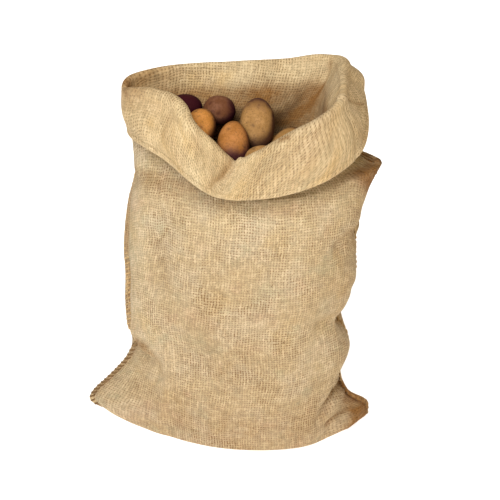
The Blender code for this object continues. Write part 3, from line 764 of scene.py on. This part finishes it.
# plain weave: every warp thread is a ridge that bobs over and under the weft with the opposite
# phase to its neighbours, and the weft the same across; the higher of the two is the surface
def makeHessian(name, side):
    look = hessian
    material, add, shader = newMaterial(name, look["roughness"], look["specular"])
    add.feed(shader.inputs["Sheen Weight"], look["sheen"])
    add.feed(shader.inputs["Sheen Roughness"], look["sheenRoughness"])
    add.feed(shader.inputs["Sheen Tint"], look["sheenTint"])
    split = add.node("SeparateXYZ", [(0, add.node("UVMap", output="UV", uv_map="threads"))])
    u, v = split.node.outputs[0], split.node.outputs[1]

    # noise over the cloth, another field for every number
    def field(number, scale, detail=3.0, roughness=0.6):
        return add.noise(add.vector(u, v, number), scale, detail, roughness)

    # noise drawn out along the threads, by its scales round and up the cloth
    def streaks(acrossScale, upScale, number=0.0):
        place = add.vector(add.times(u, acrossScale), add.times(v, upScale), number)
        return add.noise(place, 1.0, 3.0, 0.6)

    def wave(value):
        return add.maths("SINE", add.times(value, math.pi))

    # threads that wander slowly with a smooth wave, and quickly with a rough one
    def wander(start, waves, pitch):
        (slow, slowScale, slowReach), (quick, quickScale, quickReach) = waves
        value = add.onto(start, field(slow, slowScale, 2.0, 0.5), slowReach)
        value = add.onto(value, field(quick, quickScale), quickReach)
        return add.maths("DIVIDE", value, pitch)

    p = wander(u, look["warpWander"], look["warpPitch"])
    q = wander(v, look["weftWander"], look["weftPitch"])
    warpNumber, weftNumber = (add.maths("FLOOR", value) for value in (p, q))
    warpRidge, weftRidge = (add.maths("ABSOLUTE", wave(value)) for value in (p, q))
    warpBob, weftBob = wave(add.plus(q, warpNumber)), wave(add.plus(p, weftNumber))
    # each thread is thicker and thinner along its length, and some are slubs
    warpPlace = add.vector(add.times(warpNumber, 3.7), add.times(v, 45.0))
    weftPlace = add.vector(add.times(u, 45.0), add.times(weftNumber, 3.7), 9.0)
    warpSlub, weftSlub = (add.noise(place, 1.0, 3.0, 0.6) for place in (warpPlace, weftPlace))
    warpBody = add.ramp(warpSlub, 0.30, 0.70, *look["warpBody"])
    weftBody = add.ramp(weftSlub, 0.30, 0.70, *look["weftBody"])
    warpHeight = add.times(warpRidge, add.onto(warpBody, warpBob, look["bob"]))
    weftHeight = add.times(weftRidge, add.onto(weftBody, weftBob, -look["bob"]))
    height = add.maths("SMOOTH_MAX", warpHeight, weftHeight, 0.10)
    # dark gaps where neither thread covers, more of them in some patches
    crossing = add.white(warpNumber, weftNumber)
    loose = field(3.0, 13.0, 3.0, 0.55)
    edge = add.onto(add.ramp(loose, 0.36, 0.66, 0.16, 0.42), crossing, 0.18)
    gap = add.ramp(height, add.maths("SUBTRACT", edge, 0.20), edge, 1.0, 0.0)
    # colour: patches, then each crossing's own tone and the streaks along the threads
    hue = field(33.0, 17.0)
    patch = field(1.0, 11.0, 3.0, 0.55)
    tone = add.mix(add.ramp(patch, 0.38, 0.70, 0.0, 0.70), side["straw"], side["pale"])
    tone = add.mix(add.ramp(field(12.0, 9.0), 0.50, 0.72, 0.0, 0.70), tone, side["warm"])
    tone = add.mix(add.ramp(hue, 0.53, 0.70, 0.0, side["hueShare"]), tone, look["rosy"])
    tone = add.mix(add.ramp(hue, 0.30, 0.47, side["hueShare"], 0.0), tone, look["green"])
    grain = field(7.0, 420.0, 2.0)
    shade = add.onto(0.85, crossing, 0.16)
    # what makes the threads darker and lighter: source, its range and how far either way
    for source, low, high, swing in (
            (warpSlub, 0.30, 0.70, 0.05), (weftSlub, 0.30, 0.70, 0.03),
            (streaks(210.0, 22.0), 0.32, 0.68, 0.06), (streaks(24.0, 210.0, 2.0), 0.32, 0.68, 0.03),
            (grain, 0.34, 0.66, 0.12)):
        shade = add.plus(shade, add.ramp(source, low, high, -swing, swing))
    # painted shade on the weave: its hollows darker and the threads' tops lighter
    shade = add.plus(shade, add.ramp(height, 0.25, 0.95, -0.12, 0.09, smooth=False))
    tone = add.mix(1.0, tone, add.vector(shade, shade, shade), "MULTIPLY")
    tone = add.mix(add.ramp(shade, 0.98, 1.25, 0.0, 0.45), tone, look["bright"])
    tone = add.mix(add.times(gap, side["gapShare"]), tone, look["gap"])
    # holes at some crossings of the gaps, mostly where the cloth is loose, and dark flecks
    between = add.times(add.maths("SUBTRACT", 1.0, warpRidge), add.maths("SUBTRACT", 1.0, weftRidge))
    chance = add.white(add.maths("ROUND", p), add.maths("ROUND", q), 3.0)
    holes = add.times(add.ramp(between, 0.16, 0.50), add.ramp(chance, 0.35, 0.95, smooth=False))
    holes = add.times(holes, add.ramp(loose, 0.36, 0.62, 0.25, 1.0))
    tone = add.mix(add.times(holes, side["gapShare"] * 1.2), tone, look["gap"])
    tone = add.mix(add.ramp(field(20.0, 210.0, 1.0, 0.5), 0.715, 0.75, 0.0, 0.75), tone, look["fleck"])
    # the sewn hem's line, pale on its outer edge, and the stretches of painted shade, painted light and soil
    fromHem = add.attribute("fromHem")
    line = add.maths("ABSOLUTE", add.maths("SUBTRACT", fromHem, sack["hemWidth"]))
    tone = add.mix(add.ramp(line, 0.0004, 0.0020, 0.14, 0.0), tone, look["gap"])
    tone = add.mix(add.ramp(fromHem, 0.0010, 0.0045, 0.30, 0.0), tone, side["pale"])
    browned = add.attribute(side["soil"])
    cloud = add.ramp(field(40.0, 60.0), 0.3, 0.7, -0.10, 0.10)
    soil = add.maths("MULTIPLY_ADD", cloud, add.ramp(browned, 0.0, 0.3), browned, clamp=True)
    tone = add.mix(1.0, tone, add.mix(soil, (1.0, 1.0, 1.0), look["soil"]), "MULTIPLY")
    add.feed(shader.inputs["Base Color"], tone)
    relief = add.onto(height, field(0.0, 750.0, 3.0, 0.65), 0.22)
    relief = add.onto(relief, grain, 0.30)
    add.feed(shader.inputs["Normal"], add.bump(relief, look["bump"], look["bumpDepth"]))
    return material


hessianCloth = makeHessian("hessian", outsideLook)
hessianInside = makeHessian("hessian inside", insideLook)
clothMesh, clothGrid, clothWays = sackMesh()
cloth = newPiece("sack_cloth_woven", clothMesh, hessianCloth)
wall = cloth.modifiers.new("thickness", "SOLIDIFY")
wall.thickness = sack["thickness"]
wall.offset = -1.0
wall.use_quality_normals = True
wall.material_offset = 1
wall.material_offset_rim = 1
clothMesh.materials.append(hessianInside)
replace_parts(cloth, "sack_cloth")
print("cloth:", clothGrid.shape)


potato = {
    "sides": 52,
    "rings": 36,
    "taper": 0.16,
    "squareness": 0.90,       # 1 for an ellipsoid, less for a blunter body
    "lump": 0.020,            # unevenness as a share of the width
    "waves": (1.6, 2.3, 3.1, 4.4),
    "eyes": 7,
    "eyeDepth": 0.0016,
    "eyeWidth": 0.0040,
    "eyeTurn": 2.4,           # radians round it from one eye to the next
    "brow": 0.25,             # height of an eye's brow as a share of its depth
    "golden": (0.412, 0.220, 0.070),
    "ruddy": (0.560, 0.238, 0.050),
    "rusty": (0.440, 0.178, 0.040),
    "dusky": (0.175, 0.068, 0.030),
    "shaded": (0.240, 0.110, 0.055),   # the pile's
    "blush": (0.060, 0.012, 0.020),    # tone that runs in from the ends: the skin's own purple, and painted shade at some ends that lie low
    "duskyBlush": (0.032, 0.001, 0.009),
    "shadedBlush": (0.080, 0.020, 0.026),
    "blushReach": (2.2, 1.1),          # what a row's share adds and each half length takes away
    "soil": (0.120, 0.065, 0.030),
    "duskySoil": (0.070, 0.022, 0.020),
    "dark": (0.028, 0.003, 0.009),     # painted shade on the side away from the mouth, where it lies on the others
    "towardsMouth": (-0.15, -0.62, 0.77),
    "darkFrom": 0.72,         # cosines from that direction between which the painted shade comes in
    "darkTo": 0.10,
    "roughness": 0.62,
    "specular": 0.16,
    "duskySpecular": 0.06,
    "bump": 0.25,
    "bumpDepth": 0.0008,
    "firstSeed": 40,
}

# name x y z length width depth tilt turn skin, and how far the dusky skin runs in from each end
topPotatoes = [
    ("potato_a", -0.078, 0.054, 0.663, 0.076, 0.054, 0.062, 14, 20, "dusky", 1.0, 1.0),
    ("potato_b", -0.010, 0.052, 0.665, 0.062, 0.054, 0.054, 8, -20, "dusky", 0.35, 0.20),
    ("potato_c", -0.045, -0.001, 0.654, 0.076, 0.058, 0.056, 36, 70, "ruddy", 0.0, 0.1),
    ("potato_d", 0.017, -0.036, 0.637, 0.085, 0.058, 0.058, 50, 95, "rusty", 0.0, 0.55),
    ("potato_e", 0.060, 0.020, 0.652, 0.100, 0.066, 0.062, 45, 85, "golden", 0.45, 0.15),
    ("potato_f", 0.117, -0.006, 0.623, 0.078, 0.056, 0.054, 15, 60, "golden", 0.30, 0.30),
    ("potato_g", 0.066, -0.057, 0.621, 0.062, 0.044, 0.042, 8, 25, "golden", 0.0, 0.0),
    ("potato_h", -0.112, 0.010, 0.617, 0.062, 0.052, 0.050, 10, 100, "ruddy", 0.2, 0.0),
    ("potato_i", -0.070, -0.028, 0.596, 0.060, 0.048, 0.046, 6, 30, "golden", 0.0, 0.2),
    ("potato_j", 0.158, -0.052, 0.603, 0.068, 0.052, 0.050, 8, 75, "ruddy", 0.1, 0.0),
    ("potato_k", 0.174, 0.016, 0.590, 0.068, 0.052, 0.050, 6, 110, "golden", 0.0, 0.0),
    ("potato_l", 0.112, 0.064, 0.586, 0.068, 0.052, 0.050, 4, 10, "golden", 0.0, 0.1),
]


# directions of a sphere's rings from pole to pole, poles first and last as single points
def sphereDirections(sides, rings):
    rise = np.linspace(0.0, np.pi, rings + 1)[1:-1]
    turn = np.linspace(0.0, 2.0 * np.pi, sides + 1)[:-1]
    ring = np.stack([
        np.sin(rise)[:, None] * np.cos(turn), np.sin(rise)[:, None] * np.sin(turn),
        np.broadcast_to(np.cos(rise)[:, None], (rings - 1, sides)),
    ], axis=-1).reshape(-1, 3)
    return np.vstack([[0.0, 0.0, 1.0], ring, [0.0, 0.0, -1.0]])


# squares between its rings, and triangles round its poles
def sphereFaces(sides, rings):
    index, after, quads = ringFaces(1, rings - 1, sides)
    top = np.stack([np.zeros(sides, int), index[0], after[0]], axis=-1)
    bottom = np.stack([index[-1], np.full(sides, index[-1, -1] + 1), after[-1]], axis=-1)
    return quads[:, [0, 3, 2, 1]], np.vstack([top, bottom])


# a potato stands on end: laid over until its tilt is left, then swung round by its turn
def turnMatrix(tilt, turn):
    a, b = math.radians(90.0 - tilt), math.radians(turn)
    rollOver = np.array([[math.cos(a), 0, math.sin(a)], [0, 1, 0], [-math.sin(a), 0, math.cos(a)]])
    swing = np.array([[math.cos(b), -math.sin(b), 0], [math.sin(b), math.cos(b), 0], [0, 0, 1]])
    return swing @ rollOver


# blunt ellipsoid, thinner towards one end, with soft lumps from a few waves and a pit with a
# raised brow at each eye
def potatoPoints(directions, length, width, depth, seed, eyes):
    draw = np.random.default_rng(seed)
    blunt = np.sign(directions) * np.abs(directions) ** potato["squareness"]
    blunt /= np.linalg.norm(blunt, axis=1, keepdims=True) ** 0.5
    points = blunt * (np.array([depth, width, length]) / 2.0)
    points[:, :2] *= (1.0 - potato["taper"] * directions[:, 2] / 2.0)[:, None]
    waves = np.zeros(len(points))
    for frequency in potato["waves"]:
        axis = draw.normal(size=3)
        axis /= np.linalg.norm(axis)
        waves += np.sin(frequency * directions @ axis * 2.0 + draw.uniform(0.0, 6.28)) / frequency
    points = points * (1.0 + potato["lump"] * waves[:, None])
    pit = np.zeros(len(points))
    for k in range(eyes):
        rise = 1.0 - 2.0 * (k + 0.5) / eyes
        around = potato["eyeTurn"] * k + draw.uniform(-0.5, 0.5)
        flat = math.sqrt(max(0.0, 1.0 - rise * rise))
        aim = np.array([flat * math.cos(around), flat * math.sin(around), rise])
        away = np.linalg.norm(points - points[np.argmax(directions @ aim)], axis=1)
        wide = potato["eyeWidth"] * draw.uniform(0.7, 1.2)
        points = points - directions * (potato["eyeDepth"] * bell(away, wide))[:, None]
        brow = potato["brow"] * potato["eyeDepth"] * bell(away - 1.9 * wide, wide)
        points = points + directions * brow[:, None]
        pit = np.maximum(pit, bell(away, 0.8 * wide))
    return points, pit


# skin: each layer is laid over those before it, by its share and in its colour
def makeSkin(name, base, blush, soil=potato["soil"], specular=potato["specular"]):
    material, add, shader = newMaterial(name, potato["roughness"], specular)
    place = add.node("TexCoord", output="Object")
    patch = add.noise(place, 45.0, 3.0, 0.6)
    mottle = add.noise(place, 260.0, 3.0, 0.6)
    speck = add.noise(place, 700.0, 1.0)
    smear = add.noise(place, 120.0, 4.0, 0.65, 0.6)
    reach = add.plus(add.attribute("blush"), add.ramp(patch, 0.3, 0.7, -0.16, 0.16))
    # painted shade on the side away from the mouth, broken up by the patches
    under = add.plus(add.attribute("under"), add.ramp(patch, 0.3, 0.7, -0.14, 0.14))
    paler = tuple(min(1.0, c * 1.25 + 0.02) for c in base)
    darker = tuple(c * 0.68 for c in base)
    tone = base
    for share, colour in (
            (add.ramp(patch, 0.35, 0.65), paler),
            (add.ramp(mottle, 0.48, 0.68, 0.0, 0.60), darker),
            (add.ramp(reach, 0.08, 0.98, 0.0, 0.94), blush),
            (add.ramp(speck, 0.62, 0.70, 0.0, 0.45), soil),
            (add.ramp(smear, 0.55, 0.72, 0.0, 0.50), soil),
            (add.times(add.attribute("eye"), 0.75), soil),
            (add.ramp(under, 0.10, 0.95, 0.0, 0.85), potato["dark"])):
        tone = add.mix(share, tone, colour)
    add.feed(shader.inputs["Base Color"], tone)
    relief = add.onto(mottle, speck, -0.5)
    add.feed(shader.inputs["Normal"], add.bump(relief, potato["bump"], potato["bumpDepth"]))
    return material


# the twelve on top: the blush runs in from both ends, and painted shade darkens the side away from the mouth
def makeTopPotatoes(skins):
    directions = sphereDirections(potato["sides"], potato["rings"])
    quads, triangles = sphereFaces(potato["sides"], potato["rings"])
    faces = quads.tolist() + triangles.tolist()
    gain, loss = potato["blushReach"]
    mouth = np.array(potato["towardsMouth"]) / np.linalg.norm(potato["towardsMouth"])
    for seed, row in enumerate(topPotatoes, potato["firstSeed"]):
        name, x, y, z, length, width, depth, tilt, turn, skin, blushA, blushB = row
        points, pit = potatoPoints(directions, length, width, depth, seed, potato["eyes"])
        blush = np.clip(blushA * gain - (1.0 - directions[:, 2]) * loss, 0.0, 1.0)
        blush = np.maximum(blush, np.clip(blushB * gain - (1.0 + directions[:, 2]) * loss, 0.0, 1.0))
        placed = points @ turnMatrix(tilt, turn).T + [x, y, z]
        # painted shade: the further the skin turns from the mouth, the darker
        under = potato["darkFrom"] - unit(placed - [x, y, z]) @ mouth
        under = under / (potato["darkFrom"] - potato["darkTo"])
        mesh = newMesh(name, placed, faces, eye=pit, blush=blush, under=np.clip(under, 0.0, 1.0))
        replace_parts(newPiece(name + "_skin", mesh, skins[skin]), name)


pile = {
    "sides": 12,
    "rings": 9,
    "pitch": 0.062,           # between middles in a layer
    "rowPitch": 0.87,         # pitches between the rows of a layer
    "layer": 0.050,           # between layers
    "rows": (-4, 5),          # the first row, and the one after the last
    "columns": (-6, 7),
    "middle": 0.012,          # of the sack, to the right
    "backShift": 0.010,       # of every other layer
    "inset": 0.052,           # middles kept inside the cloth
    "upperInset": 0.047,      # and near the mouth, above upperFrom
    "upperFrom": 0.45,
    "roundness": 2.2,         # power of the outline that the middles keep inside
    "jitter": 0.007,
    "length": (0.058, 0.074),
    "width": (0.050, 0.060),
    "tilt": 30.0,
    "clearOfTop": 0.044,      # from the middle of a top potato
    "from": 0.036,            # heights of the layers
    "upTo": 0.600,
    "seed": 7,
}


# loose potatoes below the top layer: shifted rows, every other layer moved by half a pitch, kept
# inside the body's ring at their height and clear of the top layer
def makePile(material):
    draw = np.random.default_rng(pile["seed"])
    directions = sphereDirections(pile["sides"], pile["rings"])
    quads, triangles = sphereFaces(pile["sides"], pile["rings"])
    tops = np.array([row[1:4] for row in topPotatoes])
    points, tones = [], []
    for layer, z in enumerate(np.arange(pile["from"], pile["upTo"], pile["layer"])):
        height = min(z, sections[-1, 0])
        ring = [smoothColumn(sections[:, 0], sections[:, k], height) for k in range(1, 5)]
        left, right, front, back = np.array(ring) - pile["upperInset" if z > pile["upperFrom"] else "inset"]
        for row in range(*pile["rows"]):
            for column in range(*pile["columns"]):
                shift = 0.5 * ((row + layer) % 2)
                x = (column + shift) * pile["pitch"] + pile["middle"]
                y = row * pile["pitch"] * pile["rowPitch"] + pile["backShift"] * (layer % 2)
                place = np.array([x, y, z]) + draw.uniform(-1.0, 1.0, 3) * pile["jitter"]
                size = (draw.uniform(*pile["length"]), *draw.uniform(*pile["width"], 2))
                tilt, turn = draw.uniform(-pile["tilt"], pile["tilt"]), draw.uniform(0.0, 180.0)
                tone = draw.uniform(0.0, 1.0)
                reach = (left if place[0] < 0.0 else right, front if place[1] < 0.0 else back)
                outside = (np.abs(place[:2] / reach) ** pile["roundness"]).sum() > 1.0
                if outside or np.linalg.norm(tops - place, axis=1).min() < pile["clearOfTop"]:
                    continue
                shape, _ = potatoPoints(directions, *size, len(points), 0)
                points.append(shape @ turnMatrix(tilt, turn).T + place)
                tones.append(np.full(len(directions), tone))
    starts = np.arange(len(points))[:, None, None] * len(directions)
    faces = (starts + quads).reshape(-1, 4).tolist() + (starts + triangles).reshape(-1, 3).tolist()
    points, tones = np.vstack(points), np.concatenate(tones)
    mesh = newMesh("potato_pile", points, faces, blush=tones, eye=np.zeros(len(points)))
    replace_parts(newPiece("potato_pile", mesh, material), "potato_heap")
    print("pile:", len(starts), "potatoes")


skins = {key: makeSkin(key + " skin", potato[key], potato["blush"]) for key in ("golden", "ruddy", "rusty")}
skins["dusky"] = makeSkin("dusky skin", potato["dusky"], potato["duskyBlush"], potato["duskySoil"],
                          potato["duskySpecular"])
makeTopPotatoes(skins)
makePile(makeSkin("shaded skin", potato["shaded"], potato["shadedBlush"]))
print("potatoes ready")


stitch = {
    "pitch": 0.0120,          # between stitches along the seam
    "thread": 0.0018,         # radius of the twine
    "sides": 6,
    "turnSteps": 12,          # points round each stitch
    "over": -0.0003,          # how far the twine's middle stands off the cloth's sides
    "overEdge": -0.0010,      # and off the lip's edge
    "flatness": 0.7,          # power that flattens the spiral, 1 for none
    "uneven": 0.6,            # turn by which a stitch comes early or late
    "unevenPlaces": 60,
    "seed": 5,
    "start": 0.014,           # above the floor
    "end": 0.660,             # up the cloth, out of sight under the cuff
    "rowsAbove": 12,          # rows of the wall that it needs for that
    "roughness": 0.9,
    "specular": 0.15,
    "twine": (0.640, 0.450, 0.230),
    "darker": 0.62,           # than that colour, between its fibres
    "paler": 1.18,
    "browned": (0.150, 0.078, 0.032),   # the twine of the ears
    "brownedShare": 0.85,
    "brownedTo": (0.14, 0.20),          # heights between which it ends
    "bump": 0.5,
    "bumpDepth": 0.0010,
}


# tube of the given radius along a path, its rings turned by the level normal of the path
def tube(path, radius, sides):
    tangent = unit(np.gradient(path, axis=0))
    normal = np.cross(tangent, [0.0, 0.0, 1.0])
    normal[np.linalg.norm(normal, axis=1) < 1e-4] = [1.0, 0.0, 0.0]    # where the path stands upright
    normal = unit(normal)
    other = np.cross(tangent, normal)
    turn = np.linspace(0.0, 2.0 * np.pi, sides + 1)[:-1, None]
    points = path[:, None] + (normal[:, None] * np.cos(turn) + other[:, None] * np.sin(turn)) * radius
    index, _, quads = ringFaces(0, len(path), sides)
    return points.reshape(-1, 3), quads.tolist() + [index[0][::-1].tolist(), index[-1].tolist()]


# a wave made blunter, so that the spiral lies flat on the lip
def flatten(wave):
    return (np.sign(wave) * np.abs(wave) ** stitch["flatness"])[:, None]


# whip stitch: the twine winds round the seam's lip as a flat spiral, once each pitch
def seamSpiral(rootLine, tipLine):
    gap = np.linalg.norm(np.diff(rootLine, axis=0), axis=1)
    along = np.concatenate([[0.0], np.cumsum(gap)])
    total = min(along[-1], stitch["end"])
    count = int((total - stitch["start"]) / stitch["pitch"] * stitch["turnSteps"])
    at = np.linspace(stitch["start"], total, count)
    root, tip = (np.stack([np.interp(at, along, line[:, k]) for k in range(3)], axis=1)
                 for line in (rootLine, tipLine))
    depth = np.linalg.norm(tip - root, axis=1, keepdims=True)
    out = unit(tip - root, 1e-5)
    side = unit(np.cross(unit(np.gradient(root, axis=0)), out))
    draw = np.random.default_rng(stitch["seed"])
    uneven = draw.uniform(-stitch["uneven"], stitch["uneven"], stitch["unevenPlaces"])
    phase = (at - stitch["start"]) / stitch["pitch"] * 2.0 * np.pi
    phase = phase + np.interp(at, np.linspace(0, total, stitch["unevenPlaces"]), uneven)
    half = depth / 2.0 + stitch["overEdge"]
    wide = sack["seamEdge"] / 2.0 + stitch["over"]
    return (root + tip) / 2.0 + half * out * flatten(np.cos(phase)) + wide * side * flatten(np.sin(phase))


# darker and paler fibres, and brown low down
def makeTwine():
    material, add, shader = newMaterial("twine", stitch["roughness"], stitch["specular"])
    place = add.node("TexCoord", output="Object")
    fibres = add.noise(place, 420.0, 2.0, 0.6)
    dark = tuple(c * stitch["darker"] for c in stitch["twine"])
    pale = tuple(min(1.0, c * stitch["paler"]) for c in stitch["twine"])
    tone = add.mix(add.ramp(fibres, 0.35, 0.65), dark, pale)
    tone = add.mix(add.ramp(add.noise(place, 60.0, 2.0, 0.6), 0.4, 0.7, 0.0, 0.5), tone, stitch["twine"])
    height = add.node("SeparateXYZ", [(0, place)], 2)
    tone = add.mix(add.ramp(height, *stitch["brownedTo"], stitch["brownedShare"], 0.0), tone, stitch["browned"])
    add.feed(shader.inputs["Base Color"], tone)
    add.feed(shader.inputs["Normal"], add.bump(fibres, stitch["bump"], stitch["bumpDepth"]))
    return material


# stitches of the seam whose edge is at the given column: from the middle of its roots to its tip
def makeStitches(name, tip, twine):
    rows = sack["bodyRows"] + stitch["rowsAbove"]
    after = (tip + sack["finSteps"]) % len(clothWays)
    root = (clothGrid[:rows, tip - sack["finSteps"]] + clothGrid[:rows, after]) / 2.0
    points, faces = tube(seamSpiral(root, clothGrid[:rows, tip]), stitch["thread"], stitch["sides"])
    return newPiece(name, newMesh(name, points, faces), twine)


twine = makeTwine()
leftStitches = makeStitches("left_seam_stitches", int(np.argmin(clothWays)), twine)
rightStitches = makeStitches("right_seam_stitches", int(np.argmin(np.abs(clothWays - 1.0))), twine)
print("stitches ready:", len(leftStitches.data.vertices), len(rightStitches.data.vertices))


# the key and the fill light the sack, and the wash the floor alone
studio = {
    "floorHalf": 12.0,
    "floorColour": (0.95, 0.95, 0.95),
    "world": (1.0, 0.76, 0.46),
    "worldStrength": 0.20,
    "aim": (0.02, 0.0, 0.40),
    "lights": (               # name, place, size, power, colour
        ("key", (-0.7, -2.2, 2.9), 2.0, 104.0, (1.0, 1.0, 1.0)),
        ("fill", (2.4, -1.6, 1.6), 1.6, 14.0, (1.0, 0.82, 0.54)),
        ("wash", (-0.2, 2.3, 3.4), 3.0, 190.0, (1.0, 1.0, 1.0)),
    ),
}

view = {
    "target": (0.047, 0.105, 0.33),
    "elevation": 31.0,
    "distance": 2.1,
    "lens": 72.69,
    "sensor": 36.0,
}


# a pale square, far wider than the view
def addFloor():
    corners = np.array([(-1.0, -1.0, 0.0), (1.0, -1.0, 0.0), (1.0, 1.0, 0.0), (-1.0, 1.0, 0.0)])
    floor = newObject("floor", newMesh("floor", corners * studio["floorHalf"], [(0, 1, 2, 3)]))
    material, add, shader = newMaterial("pale floor", 1.0, 0.0)
    add.feed(shader.inputs["Base Color"], studio["floorColour"])
    floor.data.materials.append(material)
    return floor


# round area light that faces the studio's aim
def addLight(name, place, size, power, colour):
    data = bpy.data.lights.new(name, "AREA")
    data.shape = "DISK"
    data.size = size
    data.energy = power
    data.color = colour
    light = newObject(name, data)
    light.location = place
    aim = Vector(studio["aim"]) - Vector(place)
    light.rotation_euler = aim.to_track_quat("-Z", "Y").to_euler()
    return light


# camera in front of its target at the distance, raised by the elevation
def addCamera():
    data = bpy.data.cameras.new("camera")
    data.lens = view["lens"]
    data.sensor_width = view["sensor"]
    camera = newObject("camera", data)
    rise = math.radians(view["elevation"])
    x, y, z = view["target"]
    camera.location = (x, y - view["distance"] * math.cos(rise), z + view["distance"] * math.sin(rise))
    camera.rotation_euler = (math.pi / 2.0 - rise, 0.0, 0.0)
    bpy.context.scene.camera = camera


floorAlone = bpy.data.collections.new("floor alone")
floorAlone.objects.link(addFloor())
wash = [addLight(*light) for light in studio["lights"]][-1]
wash.light_linking.receiver_collection = floorAlone
wash.light_linking.blocker_collection = floorAlone
addCamera()
world = bpy.data.worlds.new("studio")
world.use_nodes = True
backdrop = world.node_tree.nodes["Background"]
backdrop.inputs["Color"].default_value = (*studio["world"], 1.0)
backdrop.inputs["Strength"].default_value = studio["worldStrength"]
bpy.context.scene.world = world
bpy.context.scene.view_settings.view_transform = "Standard"
print("stage ready")
